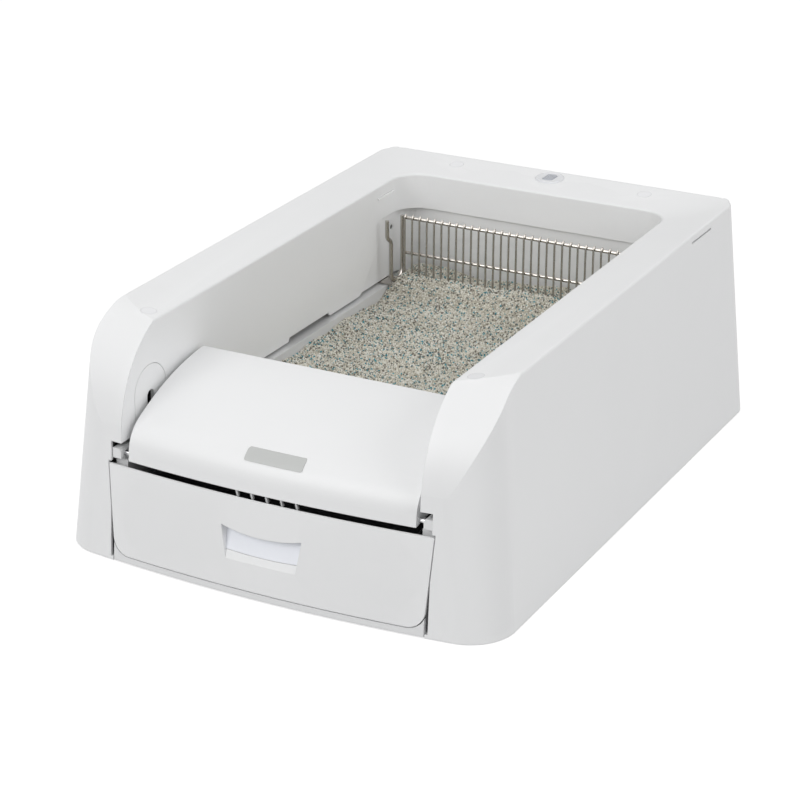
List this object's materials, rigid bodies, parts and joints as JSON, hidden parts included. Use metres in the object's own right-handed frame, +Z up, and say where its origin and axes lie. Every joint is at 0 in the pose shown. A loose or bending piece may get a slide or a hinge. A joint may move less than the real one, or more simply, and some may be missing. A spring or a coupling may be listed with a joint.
{
  "type": "self-cleaning litter box",
  "caption": "Open-topped self-cleaning litter box: wire rake driven by belts over a litter tray, hinged step lid and pull-out waste drawer in front.",
  "frame": {"origin": "on the floor, under the middle of the bounding box", "axes": "+X to the right seen from the front, +Y from the step lid to the rear, +Z up"},
  "size_m": [0.5058, 0.7118, 0.2547],
  "materials": {
    "housing_plastic": "fine satin moulded plastic, very light grey",
    "base_plastic": "moulded plastic, light grey",
    "pocket_plastic": "smooth plastic, bluish white",
    "badge_plastic": "bare grey plate, satin",
    "liner_plastic": "satin plastic, light grey",
    "tray_plastic": "smooth plastic, light grey",
    "bin_plastic": "moulded plastic, dark grey",
    "bezel_plastic": "polished plastic, light grey",
    "button_plastic": "polished plastic, grey",
    "litter": "loose mineral granules, beige",
    "foot_rubber": "soft rubber, matt",
    "belt_rubber": "toothed drive belt, matt",
    "wire_steel": "polished stainless wire",
    "rod_steel": "ground steel rod",
    "screw_steel": "zinc plated",
    "motor_steel": "grey lacquer over steel",
    "bracket_steel": "pressed sheet steel",
    "engineering_plastic": "filled nylon, black",
    "gear_plastic": "acetal, natural white",
    "bush_bronze": "sintered bronze, oiled",
    "board_green": "lacquered circuit board"
  },
  "bodies": {
    "base": {"base_chassis": "base_plastic", "rubber_feet": "foot_rubber", "litter_tray": "tray_plastic", "litter_bed": "litter", "rear_liner": "liner_plastic", "light_emitter": "engineering_plastic", "light_receiver": "engineering_plastic", "guide_rod_left": "rod_steel", "guide_rod_right": "rod_steel", "rod_brackets": "engineering_plastic", "belt_left": "belt_rubber", "belt_right": "belt_rubber", "idler_axles": "rod_steel", "shaft_bushes": "bush_bronze", "gear_motor": "motor_steel", "motor_bracket": "bracket_steel", "main_board": "board_green", "board_screws": "screw_steel", "power_jack": "engineering_plastic", "travel_switches": "engineering_plastic", "lid_lug_left": "base_plastic", "lid_lug_right": "base_plastic", "drawer_runners": "base_plastic"},
    "cover": {"outer_shell": "housing_plastic", "hood_plugs": "housing_plastic", "hood_catches": "housing_plastic", "arm_cover_left": "housing_plastic", "arm_cover_right": "housing_plastic", "slot_pocket_left": "housing_plastic", "slot_pocket_right": "housing_plastic", "button_bezel": "bezel_plastic", "button_board": "board_green"},
    "button": {"control_button": "button_plastic"},
    "lid": {"step_lid": "housing_plastic", "lid_badge": "badge_plastic", "lid_ribs": "housing_plastic", "lid_hinge_pins": "rod_steel"},
    "drawer": {"drawer_front": "housing_plastic", "grip_pocket": "pocket_plastic", "waste_bin": "bin_plastic"},
    "rake": {"rake_rods": "wire_steel", "rake_tines": "wire_steel", "rake_loops": "wire_steel", "rake_arms": "wire_steel", "carriages": "engineering_plastic", "carriage_bushes": "bush_bronze", "arm_screws": "screw_steel"},
    "drive": {"drive_shaft": "rod_steel", "pulley_left": "engineering_plastic", "pulley_right": "engineering_plastic", "driven_gear": "gear_plastic"},
    "pinion": {"motor_pinion": "gear_plastic"},
    "idler_wheel_left": {"idler_left": "engineering_plastic"},
    "idler_wheel_right": {"idler_right": "engineering_plastic"}
  },
  "joints": [
    {"name": "cover_lift", "type": "slide", "parent": "base", "child": "cover", "axis": [0, 0, 1], "range_m": [0, 0.3]},
    {"name": "lid_hinge", "type": "hinge", "parent": "base", "child": "lid", "pos_m": [0, -0.326, 0.116], "axis": [1, 0, 0], "range_deg": [0, 70]},
    {"name": "drawer_slide", "type": "slide", "parent": "base", "child": "drawer", "axis": [0, -1, 0], "range_m": [0, 0.18]},
    {"name": "rake_travel", "type": "slide", "parent": "base", "child": "rake", "axis": [0, -1, 0], "range_m": [0, 0.388], "deforming": ["litter_bed"]},
    {"name": "button_press", "type": "slide", "parent": "cover", "child": "button", "axis": [0, 0, -1], "range_m": [0, 0.0015], "stiffness_N_per_m": 900},
    {"name": "shaft_spin", "type": "hinge", "parent": "base", "child": "drive", "pos_m": [0, 0.318, 0.104], "axis": [1, 0, 0], "range_deg": [0, 2224.08]},
    {"name": "pinion_spin", "type": "hinge", "parent": "base", "child": "pinion", "pos_m": [0.104, 0.318, 0.129], "axis": [1, 0, 0], "range_deg": [-5717.48, 0]},
    {"name": "idler_left_spin", "type": "hinge", "parent": "base", "child": "idler_wheel_left", "pos_m": [-0.216, -0.212, 0.104], "axis": [1, 0, 0], "range_deg": [0, 2224.08]},
    {"name": "idler_right_spin", "type": "hinge", "parent": "base", "child": "idler_wheel_right", "pos_m": [0.216, -0.212, 0.104], "axis": [1, 0, 0], "range_deg": [0, 2224.08]}
  ],
  "couplings": [
    {"joint": "shaft_spin", "follows": "rake_travel", "rad_per_m": 100},
    {"joint": "pinion_spin", "follows": "rake_travel", "rad_per_m": -257.14},
    {"joint": "idler_left_spin", "follows": "rake_travel", "rad_per_m": 100},
    {"joint": "idler_right_spin", "follows": "rake_travel", "rad_per_m": 100}
  ]
}
